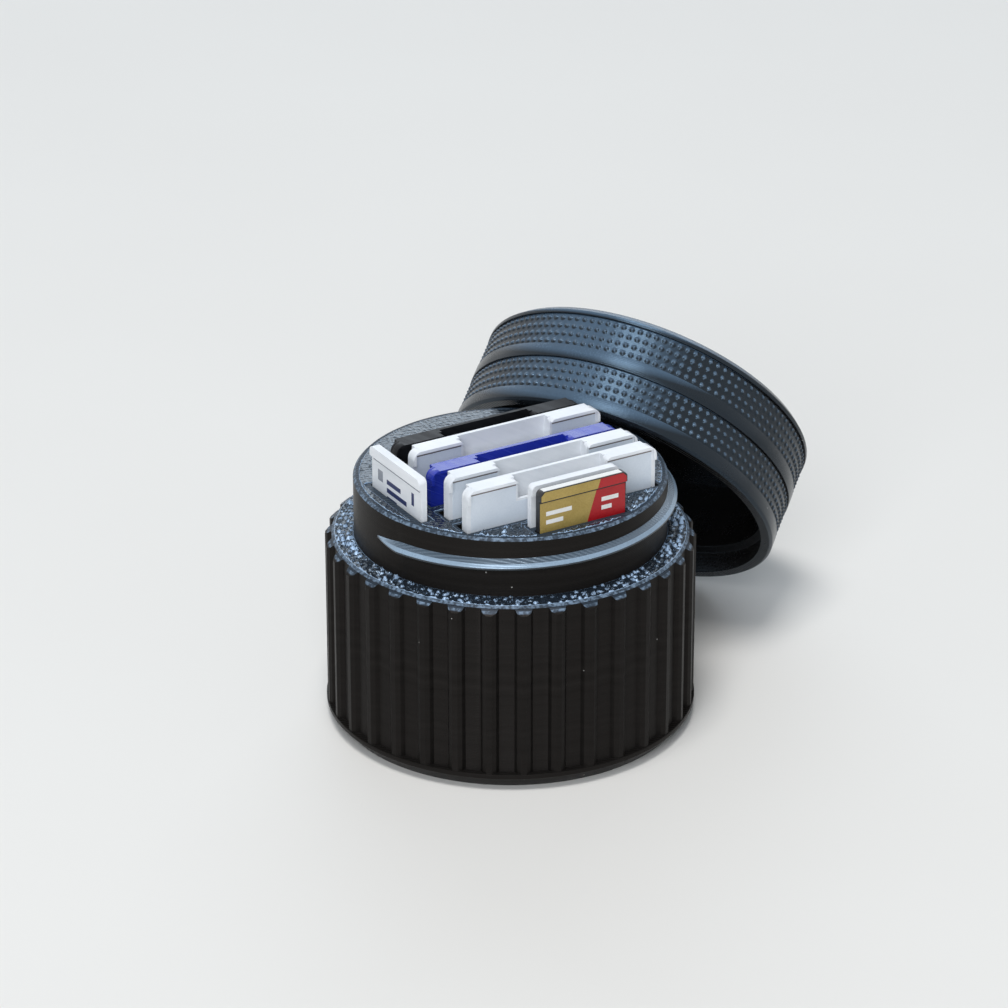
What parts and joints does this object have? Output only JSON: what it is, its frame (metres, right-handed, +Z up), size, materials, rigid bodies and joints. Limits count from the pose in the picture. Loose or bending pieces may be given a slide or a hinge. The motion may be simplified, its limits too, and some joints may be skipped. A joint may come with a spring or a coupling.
{
  "type": "memory card case",
  "caption": "Round screw-top memory card case: ribbed base with upright slots and a threaded neck, adapter cards and microSD cards in it, and a knurled cup lid leaning behind.",
  "frame": {"origin": "centre of the underside of the base, on the surface that it stands on", "axes": "+Z up along the axis of the base; +X along the SD slots, to the right seen from the labels; -Y the side that the labels face"},
  "size_m": [0.0658, 0.0582, 0.0393],
  "materials": {
    "case_plastic": "3-D printed layers, satin",
    "card_white": "moulded, fine satin",
    "card_blue": "moulded, fine satin",
    "card_black": "moulded, fine grain",
    "micro_black": "moulded, printed face",
    "micro_white": "moulded, printed face",
    "lock_grey": "moulded",
    "contact_gold": "gold plated"
  },
  "bodies": {
    "case": {"case_base": "case_plastic"},
    "lid": {"lid": "case_plastic"},
    "sd_white_front": {"sd_white_front_front_shell": "card_white", "sd_white_front_back_shell": "card_white", "sd_white_front_contacts": "contact_gold"},
    "sd_white_front_lock": {"sd_white_front_lock": "lock_grey"},
    "sd_white_second": {"sd_white_second_front_shell": "card_white", "sd_white_second_back_shell": "card_white", "sd_white_second_contacts": "contact_gold"},
    "sd_white_second_lock": {"sd_white_second_lock": "lock_grey"},
    "sd_blue": {"sd_blue_front_shell": "card_blue", "sd_blue_back_shell": "card_blue", "sd_blue_contacts": "contact_gold"},
    "sd_blue_lock": {"sd_blue_lock": "lock_grey"},
    "sd_white_fourth": {"sd_white_fourth_front_shell": "card_white", "sd_white_fourth_back_shell": "card_white", "sd_white_fourth_contacts": "contact_gold"},
    "sd_white_fourth_lock": {"sd_white_fourth_lock": "lock_grey"},
    "sd_black": {"sd_black_front_shell": "card_black", "sd_black_back_shell": "card_black", "sd_black_contacts": "contact_gold"},
    "sd_black_lock": {"sd_black_lock": "lock_grey"},
    "micro_gold": {"micro_gold_body": "micro_black", "micro_gold_contacts": "contact_gold"},
    "micro_white": {"micro_white_body": "micro_white", "micro_white_contacts": "contact_gold"},
    "micro_side": {"micro_side_body": "micro_white", "micro_side_contacts": "contact_gold"}
  },
  "joints": [
    {"name": "lid_lift", "type": "slide", "parent": "case", "child": "lid", "axis": [0.6691, 0.4263, 0.6088], "range_m": [0, 0.04]},
    {"name": "sd_white_front_slide", "type": "slide", "parent": "case", "child": "sd_white_front", "axis": [0, 0, 1], "range_m": [0, 0.03]},
    {"name": "sd_white_front_lock_slide", "type": "slide", "parent": "sd_white_front", "child": "sd_white_front_lock", "axis": [0, 0, 1], "range_m": [0, 0.0028]},
    {"name": "sd_white_second_slide", "type": "slide", "parent": "case", "child": "sd_white_second", "axis": [0, 0, 1], "range_m": [0, 0.03]},
    {"name": "sd_white_second_lock_slide", "type": "slide", "parent": "sd_white_second", "child": "sd_white_second_lock", "axis": [0, 0, 1], "range_m": [0, 0.0028]},
    {"name": "sd_blue_slide", "type": "slide", "parent": "case", "child": "sd_blue", "axis": [0, 0, 1], "range_m": [0, 0.03]},
    {"name": "sd_blue_lock_slide", "type": "slide", "parent": "sd_blue", "child": "sd_blue_lock", "axis": [0, 0, 1], "range_m": [0, 0.0028]},
    {"name": "sd_white_fourth_slide", "type": "slide", "parent": "case", "child": "sd_white_fourth", "axis": [0, 0, 1], "range_m": [0, 0.03]},
    {"name": "sd_white_fourth_lock_slide", "type": "slide", "parent": "sd_white_fourth", "child": "sd_white_fourth_lock", "axis": [0, 0, 1], "range_m": [0, 0.0028]},
    {"name": "sd_black_slide", "type": "slide", "parent": "case", "child": "sd_black", "axis": [0, 0, 1], "range_m": [0, 0.03]},
    {"name": "sd_black_lock_slide", "type": "slide", "parent": "sd_black", "child": "sd_black_lock", "axis": [0, 0, 1], "range_m": [0, 0.0028]},
    {"name": "micro_gold_slide", "type": "slide", "parent": "case", "child": "micro_gold", "axis": [0, 0, 1], "range_m": [0, 0.012]},
    {"name": "micro_white_slide", "type": "slide", "parent": "case", "child": "micro_white", "axis": [0, 0, 1], "range_m": [0, 0.012]},
    {"name": "micro_side_slide", "type": "slide", "parent": "case", "child": "micro_side", "axis": [0, 0, 1], "range_m": [0, 0.012]}
  ]
}
